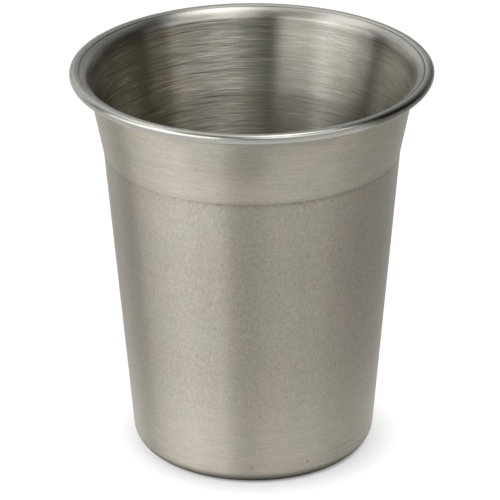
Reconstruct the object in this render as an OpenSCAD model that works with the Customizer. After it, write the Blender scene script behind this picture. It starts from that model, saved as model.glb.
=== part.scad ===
// A julep cup: a drawn steel cup with a flared mouth, and a steel band
// that wraps the outside of the mouth as its rim.
// Both pieces are solids of revolution about Z. The cup stands on z = 0.

/* [Cup] */
// Height of the cup over its rim
cup_h = 99.6; // [80:0.2:140]
// Diameter over the rim band, the widest part of the cup
rim_d = 89; // [76:0.2:110]
// Diameter of the lower wall, carried down to the table
base_d = 59.6; // [44:0.2:72]
// Depth of the wider part of the mouth, from the rim down to the draw line
mouth_h = 21; // [14:0.2:40]
// Outside diameter at the draw line, where the wall starts to open wider
draw_d = 72.9; // [62:0.1:84]
// Thickness of the steel sheet
sheet_t = 0.6; // [0.4:0.05:1.2]
// Outside radius of the rounded bottom corner
corner_r = 4.8; // [2:0.1:8]
// Radius of the mouth's flare, on the face that holds the drink
flare_r = 4.25; // [3.2:0.05:7]

/* [Rim band] */
// Radius of the rim's upper edge, from its crest to its widest point
nose_r = 0.96; // [0.6:0.02:1.3]
// Radius of the rim's lower edge, from its widest point to its underside
roll_r = 1.75; // [1.4:0.05:2.4]
// How far in from the rim's widest point the sheet's edge meets the band
seam_in = 2.36; // [1.8:0.02:2.9]

/* [Bottom] */
// Width of the flat ring that the cup stands on
foot_w = 3.2; // [2:0.1:8]
// Height over the table of the raised panel inside that ring
panel_rise = 1.2; // [0.4:0.1:2.5]
// Slope of the step round the panel
step_angle = 45; // [25:1:70]

/* [Hidden] */
$fn = 128;

steel_color = "#a8a49a";
band_color = "#c2bfb6";

// How far a cut runs past what it cuts
overrun = 1;

// The lower wall leans out from the corner up to the draw line
rim_r = rim_d/2;
draw_point = [draw_d/2, cup_h - mouth_h];
lower_lean = atan((draw_point.x - base_d/2)/draw_point.y);
corner_c = [base_d/2 + corner_r*tan(lower_lean) - corner_r/cos(lower_lean), corner_r];

// The sheet turns outward about this centre, and is level at the rim's crest
flare_c = [rim_r - nose_r, cup_h - flare_r];
flare_under_r = flare_r - sheet_t;
flare_reach = norm(flare_c - draw_point);

// The upper wall runs from the draw line to touch the underside of the flare
upper_lean = atan2(flare_c.x - draw_point.x, flare_c.y - draw_point.y)
    - asin(flare_under_r/flare_reach);

// The sheet ends at the seam, with its cut edge pointing at the flare's centre
seam_angle = 90 + asin((seam_in - nose_r)/flare_r);

// The rim band's widest point and underside
widest_z = cup_h - nose_r;
roll_c = [rim_r - roll_r, widest_z];
band_z = widest_z - roll_r;

function polar(c, r, a) = c + r*[cos(a), sin(a)];

// The angle, seen from the centre of an arc, at which a wall of this lean touches it
function corner_angle(lean) = -lean;
function flare_angle(lean) = 180 - lean;

// Where the two runs of wall meet, this deep in the sheet
function bend(depth) =
    polar(draw_point, depth/cos((upper_lean - lower_lean)/2), 180 - (upper_lean + lower_lean)/2);

// Everything on the drink's side of a face that lies this deep in the sheet.
// Depth 0 is the outside of the cup, and depth sheet_t is its inside.
module filled_section(depth, top_z) {
    foot_in_r = corner_c.x - foot_w;
    panel_r = foot_in_r - panel_rise/tan(step_angle);
    step_shift = depth*tan(step_angle/2);
    difference() {
        union() {
            polygon([
                [0, panel_rise + depth],
                [panel_r + step_shift, panel_rise + depth],
                [foot_in_r + step_shift, depth],
                [corner_c.x, depth],
                polar(corner_c, corner_r - depth, corner_angle(lower_lean)),
                bend(depth),
                polar(flare_c, flare_under_r + depth, flare_angle(upper_lean)),
                flare_c,
                [flare_c.x, top_z],
                [0, top_z]
            ]);
            translate(corner_c)
                circle(r = corner_r - depth);
        }
        translate(flare_c)
            circle(r = flare_under_r + depth);
    }
}

// What lies past the seam, on the side of the rim's crest
module past_seam() {
    polygon([
        flare_c,
        polar(flare_c, (flare_r + overrun)/sin(seam_angle), seam_angle),
        flare_c + [rim_r, flare_r + overrun],
        flare_c + [rim_r, 0]
    ]);
}

// The drawn sheet, from the middle of the bottom to its edge at the seam
module sheet_section() {
    difference() {
        filled_section(0, cup_h);
        filled_section(sheet_t, cup_h + overrun);
        past_seam();
    }
}

// The rim band's outline before the sheet is cut out of it: the same arc as the
// flare up to the crest, then the nose, the roll and a flat underside
module band_blank() {
    intersection() {
        translate(flare_c)
            circle(r = flare_r);
        translate([0, band_z])
            square([roll_c.x, cup_h - band_z]);
    }
    intersection() {
        translate(flare_c)
            circle(r = flare_r);
        translate([0, widest_z])
            square([flare_c.x, nose_r]);
    }
    intersection() {
        translate([flare_c.x, widest_z])
            circle(r = nose_r);
        translate([0, widest_z])
            square([rim_r, nose_r]);
    }
    intersection() {
        translate(roll_c)
            circle(r = roll_r);
        translate([0, band_z])
            square([rim_r, roll_r]);
    }
}

// The rim band fills the hollow under the flare and covers the sheet's edge
module band_section() {
    difference() {
        band_blank();
        difference() {
            filled_section(0, cup_h + overrun);
            past_seam();
        }
    }
}

// Drawn cup in one piece: bottom, rounded corner, walls and flared mouth
module cup_body() {
    color(steel_color)
        rotate_extrude()
            sheet_section();
}

// Solid ring joined to the outside of the mouth
module rim_band() {
    color(band_color)
        rotate_extrude()
            band_section();
}

cup_body();
rim_band();
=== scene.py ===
import math

import bpy
from mathutils import Matrix, Vector


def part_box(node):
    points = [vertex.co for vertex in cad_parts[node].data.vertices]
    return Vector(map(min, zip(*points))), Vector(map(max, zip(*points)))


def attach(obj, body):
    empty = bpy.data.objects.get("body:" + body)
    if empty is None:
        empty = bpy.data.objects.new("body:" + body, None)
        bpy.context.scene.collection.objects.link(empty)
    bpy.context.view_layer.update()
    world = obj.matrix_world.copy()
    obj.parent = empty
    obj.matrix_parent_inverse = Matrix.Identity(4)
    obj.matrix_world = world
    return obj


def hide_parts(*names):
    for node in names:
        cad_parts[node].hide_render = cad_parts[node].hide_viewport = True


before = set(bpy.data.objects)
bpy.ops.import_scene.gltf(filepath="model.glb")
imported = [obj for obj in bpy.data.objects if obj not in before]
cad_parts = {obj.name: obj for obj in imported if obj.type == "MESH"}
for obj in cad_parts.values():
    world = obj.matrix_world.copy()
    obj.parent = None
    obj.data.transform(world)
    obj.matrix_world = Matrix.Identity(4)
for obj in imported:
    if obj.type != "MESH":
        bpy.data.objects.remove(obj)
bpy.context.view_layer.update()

mm = 0.001


# Helpers for nodes and colours

def linearColour(hexText):
    # sRGB hex to the linear numbers that shaders take
    parts = [int(hexText[i:i + 2], 16) / 255 for i in (1, 3, 5)]
    return [p / 12.92 if p <= 0.04045 else ((p + 0.055) / 1.055) ** 2.4 for p in parts] + [1.0]


def addNode(tree, kind, links=None, values=None, **settings):
    # links: input name or number -> socket; values: input name or number -> constant
    node = tree.nodes.new(kind)
    for name, value in settings.items():
        setattr(node, name, value)
    for key, value in (values or {}).items():
        node.inputs[key].default_value = value
    for key, socket in (links or {}).items():
        tree.links.new(socket, node.inputs[key])
    return node


def multiplied(tree, factors):
    product = factors[0]
    for factor in factors[1:]:
        product = addNode(tree, "ShaderNodeMath", {0: product, 1: factor}, operation="MULTIPLY").outputs[0]
    return product


# Outlines: lists of (radius, height) in metres, turned about Z later

def polar(centre, radius, degrees):
    angle = math.radians(degrees)
    return (centre[0] + radius * math.cos(angle), centre[1] + radius * math.sin(angle))


def arc(centre, radius, fromAngle, toAngle, steps):
    return [polar(centre, radius, fromAngle + (toAngle - fromAngle) * i / steps) for i in range(steps + 1)]


def spaced(points, spacing):
    # the same run, with no stretch longer than the spacing
    out = [points[0]]
    for start, end in zip(points, points[1:]):
        cuts = math.ceil(math.dist(start, end) / spacing)
        for i in range(1, cuts + 1):
            out.append(tuple(a + (b - a) * i / cuts for a, b in zip(start, end)))
    return out


def roundedRun(corners, spacing, stepAngle=6.0):
    # corners: (radius, height, fillet), with no fillet at either end
    points = [corners[0][:2]]
    for before, corner, after in zip(corners, corners[1:], corners[2:]):
        here = Vector(corner[:2])
        fillet = corner[2]
        back = (Vector(before[:2]) - here).normalized()
        ahead = (Vector(after[:2]) - here).normalized()
        turn = math.pi - back.angle(ahead)
        reach = fillet * math.tan(turn / 2)
        centre = here + (back + ahead).normalized() * fillet / math.cos(turn / 2)
        first = here + back * reach - centre
        last = here + ahead * reach - centre
        steps = max(2, round(math.degrees(turn) / stepAngle))
        for i in range(steps + 1):
            share = i / steps
            spoke = first * math.sin((1 - share) * turn) + last * math.sin(share * turn)
            points.append(tuple(centre + spoke / math.sin(turn)))
    points.append(corners[-1][:2])
    return spaced(points, spacing)


# The cup's own sizes, as in the CAD model

bandLow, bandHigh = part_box("rim_band")
cupSize = {
    "height": bandHigh.z,
    "rimRadius": min(-bandLow.x, bandHigh.x, -bandLow.y, bandHigh.y),
    "baseRadius": 29.8 * mm,
    "mouthDepth": 21 * mm,
    "drawRadius": 36.45 * mm,
    "sheet": 0.6 * mm,
    "corner": 4.8 * mm,
    "flare": 4.25 * mm,
    "nose": 0.96 * mm,
    "roll": 1.75 * mm,
    "seamIn": 2.36 * mm,
    "footWidth": 3.2 * mm,
    "panelRise": 1.2 * mm,
    "stepAngle": 45,
}


def workedOut(given):
    # what follows from the sizes above
    s = dict(given)
    s["drawHeight"] = s["height"] - s["mouthDepth"]
    s["lowerLean"] = math.degrees(math.atan((s["drawRadius"] - s["baseRadius"]) / s["drawHeight"]))
    lean = math.radians(s["lowerLean"])
    cornerX = s["baseRadius"] + s["corner"] * math.tan(lean) - s["corner"] / math.cos(lean)
    s["cornerCentre"] = (cornerX, s["corner"])
    s["flareCentre"] = (s["rimRadius"] - s["nose"], s["height"] - s["flare"])
    s["flareUnder"] = s["flare"] - s["sheet"]
    across = s["flareCentre"][0] - s["drawRadius"]
    up = s["flareCentre"][1] - s["drawHeight"]
    tuck = math.asin(s["flareUnder"] / math.hypot(across, up))
    s["upperLean"] = math.degrees(math.atan2(across, up) - tuck)
    s["seamAngle"] = 90 + math.degrees(math.asin((s["seamIn"] - s["nose"]) / s["flare"]))
    s["widest"] = s["height"] - s["nose"]
    s["rollCentre"] = (s["rimRadius"] - s["roll"], s["widest"])
    s["bandBottom"] = s["widest"] - s["roll"]
    return s


size = workedOut(cupSize)

shellDetail = {
    "bendRound": 1.4 * mm,  # radius of the bend at the draw line
    "stepRound": 0.8 * mm,  # radius of the bends round the raised panel
    "spacing": 1.5 * mm,
    "buffedTo": 151,  # degrees round the flare, where the lightly buffed brushing gives way to the coarse
    "arcSteps": {"under": 20, "lip": 16, "neck": 8},
    # a pressed sheet is a little out of round, in slow waves
    "turning": {"Turns": 320, "Out of round": 0.03 * mm, "Wave length": 30 * mm, "Seed": 3},
}
bandDetail = {
    "arcSteps": {"seat": 16, "top": 12, "nose": 14, "roll": 18},
    "turning": {"Turns": 320, "Out of round": 0.0, "Wave length": 30 * mm, "Seed": 5},
}
seamDetail = {
    "edgeRound": 0.16 * mm,  # on both sides of the seam
    "edgeSteps": 4,
}


def bend(s, depth):
    # the draw line's corner, this deep in the sheet
    half = math.radians((s["upperLean"] - s["lowerLean"]) / 2)
    middle = 180 - (s["upperLean"] + s["lowerLean"]) / 2
    return polar((s["drawRadius"], s["drawHeight"]), depth / math.cos(half), middle)


def wallRun(s, depth):
    # one face of the sheet, from the middle of the bottom up to the start of the flare
    slope = math.radians(s["stepAngle"])
    footIn = s["cornerCentre"][0] - s["footWidth"]
    panelEdge = footIn - s["panelRise"] / math.tan(slope)
    shift = depth * math.tan(slope / 2)
    lean = math.radians(s["lowerLean"])
    # corner of the two straight lines that the bottom's rounding joins
    baseX = s["baseRadius"] + depth * math.tan(lean) - depth / math.cos(lean)
    flareStart = polar(s["flareCentre"], s["flareUnder"] + depth, 180 - s["upperLean"])
    return roundedRun([
        (0, s["panelRise"] + depth, 0),
        (panelEdge + shift, s["panelRise"] + depth, shellDetail["stepRound"]),
        (footIn + shift, depth, shellDetail["stepRound"]),
        (baseX, depth, s["corner"] - depth),
        (*bend(s, depth), shellDetail["bendRound"]),
        (*flareStart, 0),
    ], shellDetail["spacing"])


def seamEdge(s, way):
    # the rounded edge beside the seam, from inside it out to the face: way 1 on the sheet, -1 on the band
    edge = seamDetail["edgeRound"]
    points = []
    for i in range(seamDetail["edgeSteps"] + 1):
        t = math.radians(90 * i / seamDetail["edgeSteps"])
        aside = math.degrees(edge / s["flare"]) * (1 - math.cos(t))
        reach = s["flare"] - edge + edge * math.sin(t)
        points.append(polar(s["flareCentre"], reach, s["seamAngle"] + way * aside))
    return points


def shellOutline(s):
    # points, and the finish at each: 0 outside, 1 lip, 2 inside
    steps = shellDetail["arcSteps"]
    wall = 180 - s["upperLean"]
    edgeEnd = s["seamAngle"] + math.degrees(seamDetail["edgeRound"] / s["flare"])
    under = arc(s["flareCentre"], s["flareUnder"], wall, s["seamAngle"], steps["under"])
    brushedLip = arc(s["flareCentre"], s["flare"], edgeEnd, shellDetail["buffedTo"], steps["lip"])
    neck = arc(s["flareCentre"], s["flare"], shellDetail["buffedTo"], wall, steps["neck"])
    outside = wallRun(s, 0) + under[1:]
    lip = seamEdge(s, 1) + brushedLip[1:]
    inside = neck[1:] + wallRun(s, s["sheet"])[::-1][1:]
    return outside + lip + inside, [0] * len(outside) + [1] * len(lip) + [2] * len(inside)


def bandOutline(s):
    steps = bandDetail["arcSteps"]
    drop = s["flareCentre"][1] - s["bandBottom"]
    seatStart = 180 + math.degrees(math.asin(drop / s["flareUnder"]))
    edgeEnd = s["seamAngle"] - math.degrees(seamDetail["edgeRound"] / s["flare"])
    noseCentre = (s["rimRadius"] - s["nose"], s["widest"])
    seat = arc(s["flareCentre"], s["flareUnder"], seatStart, s["seamAngle"], steps["seat"])
    top = arc(s["flareCentre"], s["flare"], edgeEnd, 90, steps["top"])
    nose = arc(noseCentre, s["nose"], 90, 0, steps["nose"])
    roll = arc(s["rollCentre"], s["roll"], 0, -90, steps["roll"])
    return seat + seamEdge(s, -1) + top[1:] + nose[1:] + roll[1:] + [seat[0]]


# Geometry Nodes: a section turned about Z

turningInputs = {
    "Section": "NodeSocketGeometry",
    "Turns": "NodeSocketInt",
    "Out of round": "NodeSocketFloat",
    "Wave length": "NodeSocketFloat",
    "Seed": "NodeSocketInt",
    "Outside finish": "NodeSocketMaterial",
    "Lip finish": "NodeSocketMaterial",
    "Inside finish": "NodeSocketMaterial",
}
finishLabels = [label for label, kind in turningInputs.items() if kind == "NodeSocketMaterial"]
axisCore = 1 * mm  # this near the axis the sheet has no wave
weldDistance = 0.002 * mm


def outOfRound(tree, given, turned, radius):
    # how far the wave pushes a point of the sheet outwards
    perWave = addNode(tree, "ShaderNodeMath", {1: given["Wave length"]}, {0: 1.0},
                      operation="DIVIDE").outputs[0]
    wave = addNode(tree, "ShaderNodeTexNoise", {"Vector": turned, "Scale": perWave, "W": given["Seed"]},
                   {"Detail": 1.0}, noise_dimensions="4D").outputs[0]
    wave = addNode(tree, "ShaderNodeMath", {0: wave}, {1: 0.5}, operation="SUBTRACT").outputs[0]
    offAxis = addNode(tree, "ShaderNodeMath", {0: radius}, {1: axisCore},
                      operation="GREATER_THAN").outputs[0]
    return multiplied(tree, [wave, given["Out of round"], offAxis])


def turningTree():
    tree = bpy.data.node_groups.new("turnedSheet", "GeometryNodeTree")
    for label, kind in turningInputs.items():
        tree.interface.new_socket(label, in_out="INPUT", socket_type=kind)
    tree.interface.new_socket("Turned", in_out="OUTPUT", socket_type="NodeSocketGeometry")
    given = addNode(tree, "NodeGroupInput").outputs
    section = given["Section"]

    # a grid with the section's points along each spoke
    count = addNode(tree, "GeometryNodeAttributeDomainSize", {"Geometry": section}).outputs["Point Count"]
    spokes = addNode(tree, "ShaderNodeMath", {0: given["Turns"]}, {1: 1.0}, operation="ADD").outputs[0]
    grid = addNode(tree, "GeometryNodeMeshGrid", {"Vertices X": spokes, "Vertices Y": count})
    index = addNode(tree, "GeometryNodeInputIndex").outputs[0]
    # a little is added so that an exact multiple never falls to the spoke before it
    past = addNode(tree, "ShaderNodeMath", {0: index}, {1: 0.25}, operation="ADD").outputs[0]
    past = addNode(tree, "ShaderNodeMath", {0: past, 1: count}, operation="DIVIDE").outputs[0]
    spoke = addNode(tree, "ShaderNodeMath", {0: past}, operation="FLOOR").outputs[0]
    step = addNode(tree, "ShaderNodeMath", {0: index, 1: count}, operation="MODULO").outputs[0]
    step = addNode(tree, "FunctionNodeFloatToInt", {0: step}, rounding_mode="ROUND").outputs[0]

    place = addNode(tree, "GeometryNodeInputPosition").outputs[0]
    outline = addNode(tree, "GeometryNodeSampleIndex", {"Geometry": section, "Value": place, "Index": step},
                      data_type="FLOAT_VECTOR").outputs[0]
    flat = addNode(tree, "ShaderNodeSeparateXYZ", {0: outline}).outputs
    share = addNode(tree, "ShaderNodeMath", {0: spoke, 1: given["Turns"]}, operation="DIVIDE").outputs[0]
    angle = addNode(tree, "ShaderNodeMath", {0: share}, {1: 2 * math.pi}, operation="MULTIPLY").outputs[0]
    cosine = addNode(tree, "ShaderNodeMath", {0: angle}, operation="COSINE").outputs[0]
    sine = addNode(tree, "ShaderNodeMath", {0: angle}, operation="SINE").outputs[0]
    way = addNode(tree, "ShaderNodeCombineXYZ", {0: cosine, 1: sine}).outputs[0]
    reach = addNode(tree, "ShaderNodeVectorMath", {0: way, "Scale": flat[0]}, operation="SCALE").outputs[0]
    rise = addNode(tree, "ShaderNodeCombineXYZ", {2: flat[2]}).outputs[0]
    turned = addNode(tree, "ShaderNodeVectorMath", {0: reach, 1: rise}, operation="ADD").outputs[0]
    wave = outOfRound(tree, given, turned, flat[0])
    push = addNode(tree, "ShaderNodeVectorMath", {0: way, "Scale": wave}, operation="SCALE").outputs[0]
    turned = addNode(tree, "ShaderNodeVectorMath", {0: turned, 1: push}, operation="ADD").outputs[0]
    shape = addNode(tree, "GeometryNodeSetPosition",
                    {"Geometry": grid.outputs["Mesh"], "Position": turned}).outputs[0]

    # the section's attributes go with its points
    for name in ("run", "zone"):
        value = addNode(tree, "GeometryNodeInputNamedAttribute", values={"Name": name},
                        data_type="FLOAT").outputs[0]
        picked = addNode(tree, "GeometryNodeSampleIndex",
                         {"Geometry": section, "Value": value, "Index": step},
                         data_type="FLOAT").outputs[0]
        shape = addNode(tree, "GeometryNodeStoreNamedAttribute", {"Geometry": shape, "Value": picked},
                        {"Name": name}, data_type="FLOAT", domain="POINT").outputs[0]
    shape = addNode(tree, "GeometryNodeMergeByDistance", {"Geometry": shape},
                    {"Distance": weldDistance}).outputs[0]
    shape = addNode(tree, "GeometryNodeSetShadeSmooth", {"Geometry": shape}).outputs[0]
    shape = addNode(tree, "GeometryNodeRealizeInstances", {"Geometry": shape}).outputs[0]
    zone = addNode(tree, "GeometryNodeInputNamedAttribute", values={"Name": "zone"},
                   data_type="FLOAT").outputs[0]
    for number, label in enumerate(finishLabels):
        # a zone's finish covers it and all beyond, and the next one covers the rest again
        beyond = addNode(tree, "FunctionNodeCompare", {0: zone}, {1: number - 0.5}, data_type="FLOAT",
                         operation="GREATER_THAN").outputs[0]
        shape = addNode(tree, "GeometryNodeSetMaterial",
                        {"Geometry": shape, "Selection": beyond, "Material": given[label]}).outputs[0]
    addNode(tree, "NodeGroupOutput", {0: shape})
    return tree


def turnedPiece(name, points, zones, finishes, settings):
    # points is a closed or axis-to-axis outline, with the number of its finish at each point
    section = bpy.data.meshes.new(name + "Section")
    section.from_pydata([(r, 0, z) for r, z in points], [(i, i + 1) for i in range(len(points) - 1)], [])
    run = [0.0]
    for before, after in zip(points, points[1:]):
        run.append(run[-1] + math.dist(before, after))
    section.attributes.new("run", "FLOAT", "POINT").data.foreach_set("value", run)
    section.attributes.new("zone", "FLOAT", "POINT").data.foreach_set("value", [float(z) for z in zones])
    source = bpy.data.objects.new(name + "Source", section)
    bpy.context.collection.objects.link(source)
    modifier = source.modifiers.new("turning", "NODES")
    modifier.node_group = turning
    inputs = [item for item in turning.interface.items_tree if item.in_out == "INPUT"]
    sockets = {item.name: item.identifier for item in inputs}
    for label, value in list(settings.items()) + list(zip(finishLabels, finishes)):
        modifier[sockets[label]] = value
    bpy.context.view_layer.update()
    graph = bpy.context.evaluated_depsgraph_get()
    mesh = bpy.data.meshes.new_from_object(source.evaluated_get(graph), depsgraph=graph)
    mesh.name = name
    piece = bpy.data.objects.new(name, mesh)
    bpy.context.collection.objects.link(piece)
    bpy.data.objects.remove(source)
    return piece


# Finishes

texture = {
    "low": 0.3,  # nearly all values of a noise lie between these
    "high": 0.7,
    "patchLow": 0.35,
    "patchHigh": 0.65,
    # offsets that keep the noises apart
    "seeds": {"lines": 3.7, "bands": 9.1, "burnished": 21.3, "dull": 47.9},
}


def linesRound(tree, place, width, length, seed, detail=2.0):
    # noise drawn out round the cup: narrow along the section, long round it
    flat = addNode(tree, "ShaderNodeSeparateXYZ", {0: place}).outputs
    run = addNode(tree, "ShaderNodeAttribute", attribute_name="run").outputs["Fac"]
    x = addNode(tree, "ShaderNodeMath", {0: flat[0]}, {1: 1 / length}, operation="MULTIPLY").outputs[0]
    y = addNode(tree, "ShaderNodeMath", {0: flat[1]}, {1: 1 / length}, operation="MULTIPLY").outputs[0]
    z = addNode(tree, "ShaderNodeMath", {0: run}, {1: 1 / width, 2: texture["seeds"][seed]},
                operation="MULTIPLY_ADD").outputs[0]
    spot = addNode(tree, "ShaderNodeCombineXYZ", {0: x, 1: y, 2: z}).outputs[0]
    return addNode(tree, "ShaderNodeTexNoise", {"Vector": spot},
                   {"Scale": 1.0, "Detail": detail, "Roughness": 0.6}).outputs[0]


def linesUp(tree, place, width, length):
    # noise drawn out up the wall
    spot = addNode(tree, "ShaderNodeVectorMath", {0: place}, {1: (1 / width, 1 / width, 1 / length)},
                   operation="MULTIPLY").outputs[0]
    return addNode(tree, "ShaderNodeTexNoise", {"Vector": spot},
                   {"Scale": 1.0, "Detail": 2.0, "Roughness": 0.6}).outputs[0]


def fromAxis(tree, place):
    level = addNode(tree, "ShaderNodeVectorMath", {0: place}, {1: (1, 1, 0)},
                    operation="MULTIPLY").outputs[0]
    return addNode(tree, "ShaderNodeVectorMath", {0: level}, operation="LENGTH").outputs["Value"]


def shaded(tree, noise, amount):
    # a factor that makes a colour darker and lighter by this share
    return addNode(tree, "ShaderNodeMapRange", {0: noise},
                   {1: texture["low"], 2: texture["high"], 3: 1 - amount, 4: 1 + amount}).outputs[0]


def patched(tree, patches, cool, warm):
    # one colour that turns to another from patch to patch
    return addNode(tree, "ShaderNodeMix", {0: patches}, {6: linearColour(cool), 7: linearColour(warm)},
                   data_type="RGBA").outputs[2]


def stained(tree, tone, there, shade):
    # the tone with a shade over it, as strong as there says
    return addNode(tree, "ShaderNodeMix", {0: there, 6: tone}, {7: linearColour(shade)},
                   data_type="RGBA").outputs[2]


def drawnWall(tree, place, look):
    # how far a place is above the draw line, how far the drawing marks are wiped off there, and a factor
    # that makes it lighter at the foot and at the draw line
    height = addNode(tree, "ShaderNodeSeparateXYZ", {0: place}).outputs[2]
    above = addNode(tree, "ShaderNodeMapRange", {0: height},
                    {1: size["drawHeight"] - look["drawBlend"], 2: size["drawHeight"] + look["drawBlend"]},
                    interpolation_type="SMOOTHSTEP").outputs[0]
    foot = addNode(tree, "ShaderNodeMapRange", {0: height},
                   {1: look["footTop"], 2: look["footFull"]}).outputs[0]
    wiped = addNode(tree, "ShaderNodeMath", {0: above, 1: foot}, operation="MAXIMUM").outputs[0]
    low = addNode(tree, "ShaderNodeMapRange", {0: height},
                  {1: look["toneFrom"], 2: look["toneTo"], 3: look["toneLow"], 4: look["toneMiddle"]},
                  interpolation_type="SMOOTHSTEP").outputs[0]
    high = addNode(tree, "ShaderNodeMapRange", {0: height},
                   {1: look["toneHighFrom"], 2: size["drawHeight"], 3: 1.0, 4: look["toneHigh"]}).outputs[0]
    return above, wiped, multiplied(tree, [low, high])


def steel(name, look):
    material = bpy.data.materials.new(name)
    material.use_nodes = True
    tree = material.node_tree
    tree.nodes.clear()
    place = addNode(tree, "ShaderNodeTexCoord").outputs["Object"]

    patches = addNode(tree, "ShaderNodeTexNoise", {"Vector": place},
                      {"Scale": 1 / look["patchSize"], "Detail": 2.0}).outputs[0]
    patches = addNode(tree, "ShaderNodeMapRange", {0: patches},
                      {1: texture["patchLow"], 2: texture["patchHigh"]}).outputs[0]
    tint = patched(tree, patches, look["cool"], look["warm"])
    lines = linesRound(tree, place, look["lineWidth"], look["lineLength"], "lines")
    bands = linesRound(tree, place, look["bandWidth"], look["bandLength"], "bands", 1.0)
    grain = addNode(tree, "ShaderNodeTexNoise", {"Vector": place},
                    {"Scale": 1 / look["grainSize"], "Detail": 1.0}).outputs[0]
    brushed = shaded(tree, lines, look["lineShade"])
    grained = shaded(tree, grain, look["grainShade"])
    factors = [shaded(tree, bands, look["bandShade"])]
    if "upShade" in look:
        # below the draw line the drawing marks run up the wall instead
        above, wiped, heightTone = drawnWall(tree, place, look)
        drawn = shaded(tree, linesUp(tree, place, look["upWidth"], look["upLength"]), look["upShade"])
        brushed = addNode(tree, "ShaderNodeMix", {0: wiped, 2: drawn, 3: brushed},
                          data_type="FLOAT").outputs[0]
        even = shaded(tree, grain, look["evenShade"])
        grained = addNode(tree, "ShaderNodeMix", {0: wiped, 2: grained, 3: even},
                          data_type="FLOAT").outputs[0]
        upper = patched(tree, patches, look["upperCool"], look["upperWarm"])
        tint = addNode(tree, "ShaderNodeMix", {0: above, 6: tint, 7: upper}, data_type="RGBA").outputs[2]
        factors.append(heightTone)
    shade = multiplied(tree, factors + [brushed, grained])
    tone = addNode(tree, "ShaderNodeVectorMath", {0: tint, "Scale": shade}, operation="SCALE").outputs[0]
    for mark in look["marks"]:
        tone = mark(tree, place, tone)

    rough = addNode(tree, "ShaderNodeMapRange", {0: bands},
                    {1: texture["low"], 2: texture["high"],
                     3: look["roughLow"], 4: look["roughHigh"]}).outputs[0]
    bump = addNode(tree, "ShaderNodeBump", {"Height": lines},
                   {"Strength": 1.0, "Distance": look["lineDepth"]}).outputs[0]
    around = addNode(tree, "ShaderNodeTangent", direction_type="RADIAL", axis="Z").outputs[0]
    # a quarter turn lays the sheen across the brushing, which runs round the cup
    surface = addNode(tree, "ShaderNodeBsdfPrincipled",
                      {"Base Color": tone, "Roughness": rough, "Normal": bump, "Tangent": around},
                      {"Metallic": 1.0, "Anisotropic": look["anisotropic"], "Anisotropic Rotation": 0.25})
    addNode(tree, "ShaderNodeOutputMaterial", {"Surface": surface.outputs[0]})
    return material


drawLineShade = {
    "below": 0.12 * mm,  # the painted shade lies a little under the bend
    "coreWidth": 0.55 * mm,
    "haloWidth": 1.9 * mm,
    "coreStrength": 0.27,
    "haloStrength": 0.2,
    "wander": 0.3 * mm,  # how far its edges stray up and down
    "wanderLength": 1.0 * mm,
    "broken": 0.45,  # how uneven it is
    "middle": 4 * mm,  # the painted shade is fainter away from here, towards the sides
    "fadeFrom": 11 * mm,
    "fadeTo": 27 * mm,
    "faintest": 0.42,
    "shade": "#6e665b",
}


def drawLineShadeMark(tree, place, tone):
    # painted shade: a brown line in the crease where the two drawing steps meet
    flat = addNode(tree, "ShaderNodeSeparateXYZ", {0: place}).outputs
    stray = addNode(tree, "ShaderNodeTexNoise", {"Vector": place},
                    {"Scale": 1 / drawLineShade["wanderLength"], "Detail": 3.0, "Roughness": 0.6}).outputs[0]
    offset = addNode(tree, "ShaderNodeMath", {0: stray},
                     {1: 2 * drawLineShade["wander"], 2: -drawLineShade["wander"]},
                     operation="MULTIPLY_ADD").outputs[0]
    offset = addNode(tree, "ShaderNodeMath", {0: offset, 1: flat[2]}, operation="ADD").outputs[0]
    offset = addNode(tree, "ShaderNodeMath", {0: offset}, {1: size["drawHeight"] - drawLineShade["below"]},
                     operation="SUBTRACT").outputs[0]
    away = addNode(tree, "ShaderNodeMath", {0: offset}, operation="ABSOLUTE").outputs[0]
    core = addNode(tree, "ShaderNodeMapRange", {0: away},
                   {1: 0.0, 2: drawLineShade["coreWidth"], 3: drawLineShade["coreStrength"], 4: 0.0},
                   interpolation_type="SMOOTHSTEP").outputs[0]
    halo = addNode(tree, "ShaderNodeMapRange", {0: away},
                   {1: 0.0, 2: drawLineShade["haloWidth"], 3: drawLineShade["haloStrength"], 4: 0.0},
                   interpolation_type="SMOOTHSTEP").outputs[0]
    there = addNode(tree, "ShaderNodeMath", {0: core, 1: halo}, operation="ADD").outputs[0]
    side = addNode(tree, "ShaderNodeMath", {0: flat[0]}, {1: drawLineShade["middle"]},
                   operation="SUBTRACT").outputs[0]
    side = addNode(tree, "ShaderNodeMath", {0: side}, operation="ABSOLUTE").outputs[0]
    faint = addNode(tree, "ShaderNodeMapRange", {0: side},
                    {1: drawLineShade["fadeFrom"], 2: drawLineShade["fadeTo"],
                     3: 1.0, 4: drawLineShade["faintest"]}).outputs[0]
    there = multiplied(tree, [there, faint, shaded(tree, stray, drawLineShade["broken"])])
    return stained(tree, tone, there, drawLineShade["shade"])


specks = {
    "shade": "#5e5a52",
    "spacing": 14 * mm,
    "radius": 0.2 * mm,
    "strength": 0.5,
    "core": 0.5,  # share of the radius that has the full strength
    # degrees round from the front, height, radius, strength: two handled patches, then three pits lower down
    "single": [
        (-2, 89.5 * mm, 7.5 * mm, 0.2),
        (-16, 90.5 * mm, 8 * mm, 0.13),
        (-1, 5.4 * mm, 0.5 * mm, 0.5),
        (26, 5.6 * mm, 0.5 * mm, 0.5),
        (3, 20 * mm, 0.6 * mm, 0.25),
    ],
    "singleCore": 0.2,
}


def onWall(degrees, height):
    # a place on the outside of the wall
    angle = math.radians(degrees)
    past = height - size["drawHeight"]
    lean = size["upperLean"] if past > 0 else size["lowerLean"]
    reach = size["drawRadius"] + past * math.tan(math.radians(lean))
    return (reach * math.sin(angle), -reach * math.cos(angle), height)


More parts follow.
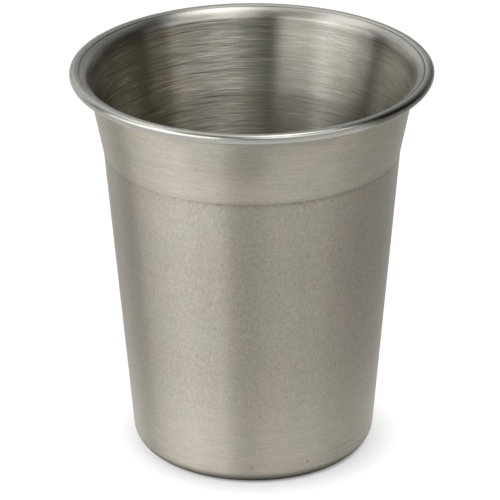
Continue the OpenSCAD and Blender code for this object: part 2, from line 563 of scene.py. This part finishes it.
def speckMark(tree, place, tone):
    # tiny pits and dust specks all over, then the single ones
    cells = addNode(tree, "ShaderNodeTexVoronoi", {"Vector": place},
                    {"Scale": 1 / specks["spacing"], "Randomness": 1.0})
    share = specks["radius"] / specks["spacing"]
    there = addNode(tree, "ShaderNodeMapRange", {0: cells.outputs["Distance"]},
                    {1: specks["core"] * share, 2: share, 3: specks["strength"], 4: 0.0}).outputs[0]
    tone = stained(tree, tone, there, specks["shade"])
    for degrees, height, radius, strength in specks["single"]:
        distance = addNode(tree, "ShaderNodeVectorMath", {0: place}, {1: onWall(degrees, height)},
                           operation="DISTANCE").outputs["Value"]
        there = addNode(tree, "ShaderNodeMapRange", {0: distance},
                        {1: specks["singleCore"] * radius, 2: radius, 3: strength, 4: 0.0},
                        interpolation_type="SMOOTHSTEP").outputs[0]
        tone = stained(tree, tone, there, specks["shade"])
    return tone


footContactShade = {
    "shade": "#1d1c19",
    "full": 0.7 * mm,  # heights up to which it is full, and at which it ends
    "top": 3.5 * mm,
    "inner": 1.5 * mm,  # out from the ring that the cup stands on: where it starts, and is full
    "outer": 2.5 * mm,
}


def footContactShadeMark(tree, place, tone):
    # painted shade: a dark ring low on the corner, standing in for the contact shadow it reflects where the
    # cup meets the paper
    height = addNode(tree, "ShaderNodeSeparateXYZ", {0: place}).outputs[2]
    low = addNode(tree, "ShaderNodeMapRange", {0: height},
                  {1: footContactShade["full"], 2: footContactShade["top"], 3: 1.0, 4: 0.0}).outputs[0]
    ring = size["cornerCentre"][0]
    outside = addNode(tree, "ShaderNodeMapRange", {0: fromAxis(tree, place)},
                      {1: ring + footContactShade["inner"], 2: ring + footContactShade["outer"]}).outputs[0]
    return stained(tree, tone, multiplied(tree, [low, outside]), footContactShade["shade"])


streaks = {
    "width": 0.22 * mm,
    "length": 9 * mm,
    "burnished": (0.56, 0.78),  # where in its noise a streak starts, and is full
    "bright": 1.1,  # how much lighter the burnished streaks are
    "dull": (0.52, 0.72),
    "dullWider": 1.4,
    "dullLonger": 1.5,
    "dark": 0.55,
    "browned": "#b1a79a",  # dull streaks hold a little tarnish
    "paintedWarmth": "#aba083",  # and the left side is tinted warm: a painted reflection of the warm wall in the shade
    "paintedWarmthFrom": -13 * mm,
    "paintedWarmthTo": -21 * mm,
    "paintedWarmthShare": 0.45,
    "contrastFrom": -4 * mm,  # the streaks are painted stronger on the left, where the light shows them most
    "contrastTo": 9 * mm,
    "contrastLeast": 0.45,
}


def streakMark(tree, place, tone):
    # single deeper strokes of the belt, some burnished and some dull
    side = addNode(tree, "ShaderNodeSeparateXYZ", {0: place}).outputs[0]
    # painted reflection: the left side of the inside turned warm
    warmReflection = addNode(tree, "ShaderNodeMapRange", {0: side},
                       {1: streaks["paintedWarmthTo"], 2: streaks["paintedWarmthFrom"],
                        3: streaks["paintedWarmthShare"], 4: 0.0},
                       interpolation_type="SMOOTHSTEP").outputs[0]
    tone = stained(tree, tone, warmReflection, streaks["paintedWarmth"])
    # painted: the streaks fade towards the right, where the light shows them less
    sideContrast = addNode(tree, "ShaderNodeMapRange", {0: side},
                   {1: streaks["contrastFrom"], 2: streaks["contrastTo"], 3: 1.0, 4: streaks["contrastLeast"]}).outputs[0]
    bright = linesRound(tree, place, streaks["width"], streaks["length"], "burnished", 1.0)
    dark = linesRound(tree, place, streaks["dullWider"] * streaks["width"],
                      streaks["dullLonger"] * streaks["length"], "dull", 2.0)
    start, full = streaks["burnished"]
    bright = addNode(tree, "ShaderNodeMapRange", {0: bright}, {1: start, 2: full}).outputs[0]
    start, full = streaks["dull"]
    dark = addNode(tree, "ShaderNodeMapRange", {0: dark}, {1: start, 2: full}).outputs[0]
    bright = multiplied(tree, [bright, sideContrast])
    dark = multiplied(tree, [dark, sideContrast])
    lift = addNode(tree, "ShaderNodeMath", {0: bright}, {1: streaks["bright"], 2: 1.0},
                   operation="MULTIPLY_ADD").outputs[0]
    less = addNode(tree, "ShaderNodeMath", {0: dark}, {1: -streaks["dark"], 2: 1.0},
                   operation="MULTIPLY_ADD").outputs[0]
    tone = stained(tree, tone, dark, streaks["browned"])
    return addNode(tree, "ShaderNodeVectorMath", {0: tone, "Scale": multiplied(tree, [lift, less])},
                   operation="SCALE").outputs[0]


underLipShade = {
    "shade": "#4d4942",
    "from": 1.4 * mm,  # in from the rim's widest point: where it starts, and is full
    "full": 0.6 * mm,
    "least": 0.08,  # elsewhere
    "most": 0.8,  # on the right, towards the front
    "middle": 23,  # degrees round from the right to the front
    "inner": 0.925,  # cosines of how far from there it is full, and where it ends
    "outer": 0.83,
}


def underLipShadeMark(tree, place, tone):
    # painted shade: a dark patch low on the outer side of the rim, standing in for a dark reflection, most
    # of it at the right
    rim = size["rimRadius"]
    low = addNode(tree, "ShaderNodeMapRange", {0: fromAxis(tree, place)},
                  {1: rim - underLipShade["from"], 2: rim - underLipShade["full"]}).outputs[0]
    way = math.radians(underLipShade["middle"])
    towards = (math.cos(way) / rim, -math.sin(way) / rim, 0)
    side = addNode(tree, "ShaderNodeVectorMath", {0: place}, {1: towards},
                   operation="DOT_PRODUCT").outputs["Value"]
    side = addNode(tree, "ShaderNodeMapRange", {0: side},
                   {1: underLipShade["outer"], 2: underLipShade["inner"], 3: underLipShade["least"], 4: underLipShade["most"]},
                   interpolation_type="SMOOTHSTEP").outputs[0]
    return stained(tree, tone, multiplied(tree, [low, side]), underLipShade["shade"])


seamShade = {
    "shade": "#4a463f",
    "full": 0.075 * mm,  # each way
    "width": 0.3 * mm,
    "strength": 0.5,
}


def seamMark(tree, place, tone):
    # polishing compound that stays in the seam between the sheet and the band
    away = addNode(tree, "ShaderNodeMath", {0: fromAxis(tree, place)},
                   {1: size["rimRadius"] - size["seamIn"]}, operation="SUBTRACT").outputs[0]
    away = addNode(tree, "ShaderNodeMath", {0: away}, operation="ABSOLUTE").outputs[0]
    there = addNode(tree, "ShaderNodeMapRange", {0: away},
                    {1: seamShade["full"], 2: seamShade["width"], 3: seamShade["strength"], 4: 0.0},
                    interpolation_type="SMOOTHSTEP").outputs[0]
    return stained(tree, tone, there, seamShade["shade"])


throatShade = {
    "shade": "#4f4a43",
    "strength": 0.45,
    # heights: starts, full, full, ends
    "span": (98.75 * mm, 97.9 * mm, 96.2 * mm, 93.8 * mm),
    "back": (12 * mm, 32 * mm, 0.42),  # painted lighter at the back: from, to, share left
}


def throatShadeMark(tree, place, tone):
    # painted shade in the bend under the flare, lighter at the back
    flat = addNode(tree, "ShaderNodeSeparateXYZ", {0: place}).outputs
    top, fullTop, fullLow, low = throatShade["span"]
    upper = addNode(tree, "ShaderNodeMapRange", {0: flat[2]},
                    {1: top, 2: fullTop, 3: 0.0, 4: throatShade["strength"]},
                    interpolation_type="SMOOTHSTEP").outputs[0]
    lower = addNode(tree, "ShaderNodeMapRange", {0: flat[2]}, {1: low, 2: fullLow},
                    interpolation_type="SMOOTHSTEP").outputs[0]
    near, far, left = throatShade["back"]
    lighterAtBack = addNode(tree, "ShaderNodeMapRange", {0: flat[1]},
                      {1: near, 2: far, 3: 1.0, 4: left}).outputs[0]
    return stained(tree, tone, multiplied(tree, [upper, lower, lighterAtBack]), throatShade["shade"])


# Drawn stainless steel, rubbed to a satin: a soft, wide sheen with hardly a line in it
satinSteel = steel("satinDrawnStainlessSteel", {
    "warm": "#b8b0a4", "cool": "#b5b1a5", "patchSize": 10 * mm,
    "upperWarm": "#c1b9ad", "upperCool": "#bdb9ab", "drawBlend": 1 * mm,
    "roughLow": 0.41, "roughHigh": 0.43, "anisotropic": 0.97,
    "lineWidth": 0.5 * mm, "lineLength": 5 * mm, "lineShade": 0.075, "lineDepth": 0.001 * mm,
    "upWidth": 0.45 * mm, "upLength": 1.4 * mm, "upShade": 0.07,
    "footTop": 24 * mm, "footFull": 12 * mm,
    # lighter at the foot and up at the draw line, darker between
    "toneFrom": 5 * mm, "toneTo": 36 * mm, "toneLow": 1.07, "toneMiddle": 0.94,
    "toneHighFrom": 58.95 * mm, "toneHigh": 1.08,
    "bandWidth": 1.6 * mm, "bandLength": 40 * mm, "bandShade": 0.02,
    "grainSize": 0.55 * mm, "grainShade": 0.09, "evenShade": 0.055,
    "marks": [drawLineShadeMark, speckMark, footContactShadeMark],
})
# Stainless steel brushed round the inside with a coarse belt: crisp sideways, drawn out up and down
brushedSteel = steel("beltBrushedStainlessSteel", {
    "warm": "#b9b4a9", "cool": "#b6b5ad", "patchSize": 9 * mm,
    "roughLow": 0.35, "roughHigh": 0.4, "anisotropic": 1.0,
    "lineWidth": 0.25 * mm, "lineLength": 7 * mm, "lineShade": 0.14, "lineDepth": 0.008 * mm,
    "bandWidth": 1.2 * mm, "bandLength": 30 * mm, "bandShade": 0.08,
    "grainSize": 0.35 * mm, "grainShade": 0.06,
    "marks": [streakMark, throatShadeMark],
})
# The same brushing, lightly buffed where it runs out over the flare: softer streaks, a brighter sheen
blendedSteel = steel("lightlyBuffedBrushedStainlessSteel", {
    "warm": "#c2bdb4", "cool": "#bebdb6", "patchSize": 14 * mm,
    "roughLow": 0.32, "roughHigh": 0.35, "anisotropic": 0.9,
    "lineWidth": 0.25 * mm, "lineLength": 8 * mm, "lineShade": 0.1, "lineDepth": 0.004 * mm,
    "bandWidth": 0.9 * mm, "bandLength": 24 * mm, "bandShade": 0.05,
    "grainSize": 0.35 * mm, "grainShade": 0.05,
    "marks": [throatShadeMark, seamMark],
})
# Stainless steel buffed on a wheel: clear soft-edged reflections
buffedSteel = steel("buffedStainlessSteel", {
    "warm": "#c2beb7", "cool": "#bfbfb9", "patchSize": 20 * mm,
    "roughLow": 0.27, "roughHigh": 0.31, "anisotropic": 0.74,
    "lineWidth": 0.2 * mm, "lineLength": 8 * mm, "lineShade": 0.05, "lineDepth": 0.001 * mm,
    "bandWidth": 0.8 * mm, "bandLength": 20 * mm, "bandShade": 0.03,
    "grainSize": 0.35 * mm, "grainShade": 0.04,
    "marks": [underLipShadeMark, seamMark],
})
print("finishes:", satinSteel.name, brushedSteel.name, blendedSteel.name, buffedSteel.name)

# Pieces

turning = turningTree()

shellPoints, shellZones = shellOutline(size)
cupShell = turnedPiece("cupShell", shellPoints, shellZones, (satinSteel, blendedSteel, brushedSteel),
                       shellDetail["turning"])
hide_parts("cup_body")
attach(cupShell, "root")
print("shell:", len(shellPoints), "points,", len(cupShell.data.polygons), "faces")

bandPoints = bandOutline(size)
rimBand = turnedPiece("rimBand", bandPoints, [1] * len(bandPoints), (buffedSteel, buffedSteel, buffedSteel),
                      bandDetail["turning"])
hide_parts("rim_band")
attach(rimBand, "root")
print("band:", len(bandPoints), "points,", len(rimBand.data.polygons), "faces")


# Studio

studio = {
    "floorRadius": 3.0,
    "paper": "#f2f2f2",
    # the camera sees a share of the paper's shading, and white added to it from the foot outwards, which
    # leaves a painted contact shadow at the foot
    "shadowShare": 0.28,
    "fill": (0.62, 0.86),
    "fillAt": (26.2 * mm, 28.3 * mm, 36.5 * mm),  # from the axis: none, the first fill, the second
    "shadowAside": 0.5 * mm,  # the shadow at the foot is a little wider on the right
    "fadeFrom": 0.15,  # from here out the paper turns to plain white
    "fadeTo": 0.45,
    # how white the metal shows the paper, painted brighter close by than further out, and the share of that
    # in it
    "mirrorNear": 1.3,
    "mirrorNearTo": 40 * mm,
    "mirrorFar": 0.66,
    "mirrorFarFrom": 130 * mm,
    "mirrorShare": 0.6,
    "contact": (26 * mm, 38 * mm),  # painted contact shadow: dark at the foot and full out here
    "mirrorUnder": 0.3,  # and under the cup, for its underside
    "under": (24 * mm, 27 * mm),
    "lampDistance": 1.0,
    # name, degrees right of the camera's side, degrees up, degrees wide, degrees tall, brightness
    # the brightnesses come from a least squares fit to the photo, and some were then set one by one
    "softboxes": [
        ("leftSoftbox", -51, 21, 63, 18, 3.8),
        ("leftWing", -90, 21, 15, 18, 2.44),
        ("leftLower", -52.5, 6, 90, 12, 1.13),
        ("leftUpper", -52.5, 39, 60, 18, 1.3),
        ("leftSpot", -60, 39, 15, 18, 2.46),
        ("leftHigh", -105, 57, 15, 18, 2.36),
        ("leftHighSide", -82.5, 57, 30, 18, 0.821),
        ("frontFill", -8, 30, 26, 24, 0.357),
        ("rightSoftbox", 37.5, 39, 60, 18, 2.32),
        ("rightUpper", 15, 57, 45, 18, 2.34),
        ("rightLower", 52.5, 21, 60, 18, 0.62),
        ("overheadBack", 150, 76, 60, 20, 4.61),
        ("overheadRight", 90, 76, 60, 20, 1.55),
        ("overheadLeft", -150, 76, 60, 20, 1.29),
        ("backLeftLower", -150, 12, 60, 24, 0.491),
        ("backLeftMiddle", -165, 40, 30, 32, 0.866),
        ("backLeftSide", -130, 34, 40, 44, 0.625),
        ("backLeftHigh", -140, 60, 60, 14, 1.16),
        ("backRightLower", 155, 12, 50, 24, 0.375),
        ("backRightUpper", 165, 40, 30, 32, 0.339),
        ("backRightSide", 135, 40, 30, 32, 0.214),
    ],
}


def seenPaper(tree, distance):
    # the camera sees the paper brighter than it is, so that it is white but keeps the shadow
    near, middle, far = studio["fillAt"]
    low, high = studio["fill"]
    # no fill at the foot: a painted contact shadow round it
    rise = addNode(tree, "ShaderNodeMapRange", {0: distance},
                   {1: near, 2: middle, 3: 0.0, 4: low}).outputs[0]
    more = addNode(tree, "ShaderNodeMapRange", {0: distance},
                   {1: middle, 2: far, 3: 0.0, 4: high - low}).outputs[0]
    fill = addNode(tree, "ShaderNodeMath", {0: rise, 1: more}, operation="ADD").outputs[0]
    fill = addNode(tree, "ShaderNodeEmission", {1: fill}).outputs[0]
    grey = [studio["shadowShare"]] * 3 + [1.0]
    shadow = addNode(tree, "ShaderNodeBsdfDiffuse", values={0: grey}).outputs[0]
    bright = addNode(tree, "ShaderNodeAddShader", {0: shadow, 1: fill}).outputs[0]
    white = addNode(tree, "ShaderNodeEmission", values={1: 1.0}).outputs[0]
    away = addNode(tree, "ShaderNodeMapRange", {0: distance},
                   {1: studio["fadeFrom"], 2: studio["fadeTo"]}).outputs[0]
    return addNode(tree, "ShaderNodeMixShader", {0: away, 1: bright, 2: white}).outputs[0]


def mirroredPaper(tree, distance, paper):
    # the metal shows the paper nearly as white, as a glow painted brighter near the cup, with a painted
    # contact shadow where the cup meets it
    level = addNode(tree, "ShaderNodeMapRange", {0: distance},
                    {1: studio["mirrorNearTo"], 2: studio["mirrorFarFrom"],
                     3: studio["mirrorNear"], 4: studio["mirrorFar"]}).outputs[0]
    dark, full = studio["contact"]
    contact = addNode(tree, "ShaderNodeMapRange", {0: distance}, {1: dark, 2: full},
                      interpolation_type="SMOOTHSTEP").outputs[0]
    inner, outer = studio["under"]
    under = addNode(tree, "ShaderNodeMapRange", {0: distance},
                    {1: inner, 2: outer, 3: studio["mirrorUnder"], 4: 0.0}).outputs[0]
    contact = addNode(tree, "ShaderNodeMath", {0: contact, 1: under}, operation="MAXIMUM").outputs[0]
    glow = addNode(tree, "ShaderNodeEmission", {1: multiplied(tree, [level, contact])}).outputs[0]
    return addNode(tree, "ShaderNodeMixShader", {1: paper, 2: glow}, {0: studio["mirrorShare"]}).outputs[0]


def whitePaper():
    material = bpy.data.materials.new("matteWhitePaper")
    material.use_nodes = True
    tree = material.node_tree
    tree.nodes.clear()
    path = addNode(tree, "ShaderNodeLightPath").outputs
    direct = addNode(tree, "ShaderNodeMath", {0: path["Is Camera Ray"], 1: path["Is Transmission Ray"]},
                     operation="MAXIMUM").outputs[0]
    place = addNode(tree, "ShaderNodeTexCoord").outputs["Object"]
    distance = addNode(tree, "ShaderNodeVectorMath", {0: place}, {1: (studio["shadowAside"], 0, 0)},
                       operation="DISTANCE").outputs["Value"]
    paper = addNode(tree, "ShaderNodeBsdfDiffuse", values={0: linearColour(studio["paper"])}).outputs[0]
    mirrored = mirroredPaper(tree, distance, paper)
    seen = seenPaper(tree, distance)
    shown = addNode(tree, "ShaderNodeMixShader",
                    {0: path["Is Glossy Ray"], 1: paper, 2: mirrored}).outputs[0]
    shown = addNode(tree, "ShaderNodeMixShader", {0: direct, 1: shown, 2: seen}).outputs[0]
    # from below the paper isn't there, so that the cup's underside can be looked at
    below = addNode(tree, "ShaderNodeNewGeometry").outputs["Backfacing"]
    clear = addNode(tree, "ShaderNodeBsdfTransparent").outputs[0]
    shown = addNode(tree, "ShaderNodeMixShader", {0: below, 1: shown, 2: clear}).outputs[0]
    addNode(tree, "ShaderNodeOutputMaterial", {0: shown})
    return material


def makeFloor():
    mesh = bpy.data.meshes.new("floor")
    r = studio["floorRadius"]
    mesh.from_pydata([(-r, -r, 0), (r, -r, 0), (r, r, 0), (-r, r, 0)], [], [(0, 1, 2, 3)])
    mesh.materials.append(whitePaper())
    floor = bpy.data.objects.new("floor", mesh)
    bpy.context.collection.objects.link(floor)


def makeSoftbox(name, heading, elevation, wide, tall, brightness):
    a = math.radians(heading)
    e = math.radians(elevation)
    way = Vector((math.sin(a) * math.cos(e), -math.cos(a) * math.cos(e), math.sin(e)))
    lamp = bpy.data.lights.new(name, "AREA")
    lamp.shape = "RECTANGLE"
    lamp.size = 2 * studio["lampDistance"] * math.tan(math.radians(wide / 2)) * math.cos(e)
    lamp.size_y = 2 * studio["lampDistance"] * math.tan(math.radians(tall / 2))
    lamp.energy = brightness * math.pi * lamp.size * lamp.size_y
    box = bpy.data.objects.new(name, lamp)
    box.location = way * studio["lampDistance"]
    box.rotation_euler = way.to_track_quat("Z", "Y").to_euler()
    box.visible_camera = False
    bpy.context.collection.objects.link(box)


def makeWorld():
    # dark to the cup, white to the camera
    world = bpy.data.worlds.new("studioWorld")
    bpy.context.scene.world = world
    world.use_nodes = True
    tree = world.node_tree
    tree.nodes.clear()
    path = addNode(tree, "ShaderNodeLightPath").outputs
    seen = addNode(tree, "ShaderNodeMath", {0: path["Is Camera Ray"], 1: path["Is Transmission Ray"]},
                   operation="MAXIMUM").outputs[0]
    dark = addNode(tree, "ShaderNodeBackground", values={0: (0, 0, 0, 1), 1: 1.0}).outputs[0]
    white = addNode(tree, "ShaderNodeBackground", values={0: (1, 1, 1, 1), 1: 1.0}).outputs[0]
    shown = addNode(tree, "ShaderNodeMixShader", {0: seen, 1: dark, 2: white}).outputs[0]
    addNode(tree, "ShaderNodeOutputWorld", {0: shown})


makeFloor()
makeWorld()
for softbox in studio["softboxes"]:
    makeSoftbox(*softbox)
print("studio:", len(studio["softboxes"]), "softboxes")

# Camera, fitted to the photo

view = {
    "pixels": 500,  # each way
    "focalPixels": 3957,
    "sensor": 36.0,  # mm
    "elevation": 24.275,  # degrees
    "distance": 983.8 * mm,
    "aimHeight": 50.61 * mm,
    "sideways": 2.6,  # the cup's axis, in pixels right of the middle
    "roll": -0.0052,  # radians
    "clip": (0.01, 20),
}


def makeCamera():
    data = bpy.data.cameras.new("photoCamera")
    data.sensor_width = view["sensor"]
    data.lens = view["focalPixels"] * view["sensor"] / view["pixels"]
    data.clip_start, data.clip_end = view["clip"]
    camera = bpy.data.objects.new("photoCamera", data)
    bpy.context.collection.objects.link(camera)
    e = math.radians(view["elevation"])
    back = Vector((0, -math.cos(e), math.sin(e)))
    left = view["sideways"] / view["focalPixels"] * view["distance"]
    place = Vector((-left, 0, view["aimHeight"])) + back * view["distance"]
    turn = back.to_track_quat("Z", "Y").to_matrix().to_4x4() @ Matrix.Rotation(view["roll"], 4, "Z")
    camera.matrix_world = Matrix.Translation(place) @ turn
    bpy.context.scene.camera = camera
    bpy.context.scene.view_settings.view_transform = "Standard"


makeCamera()
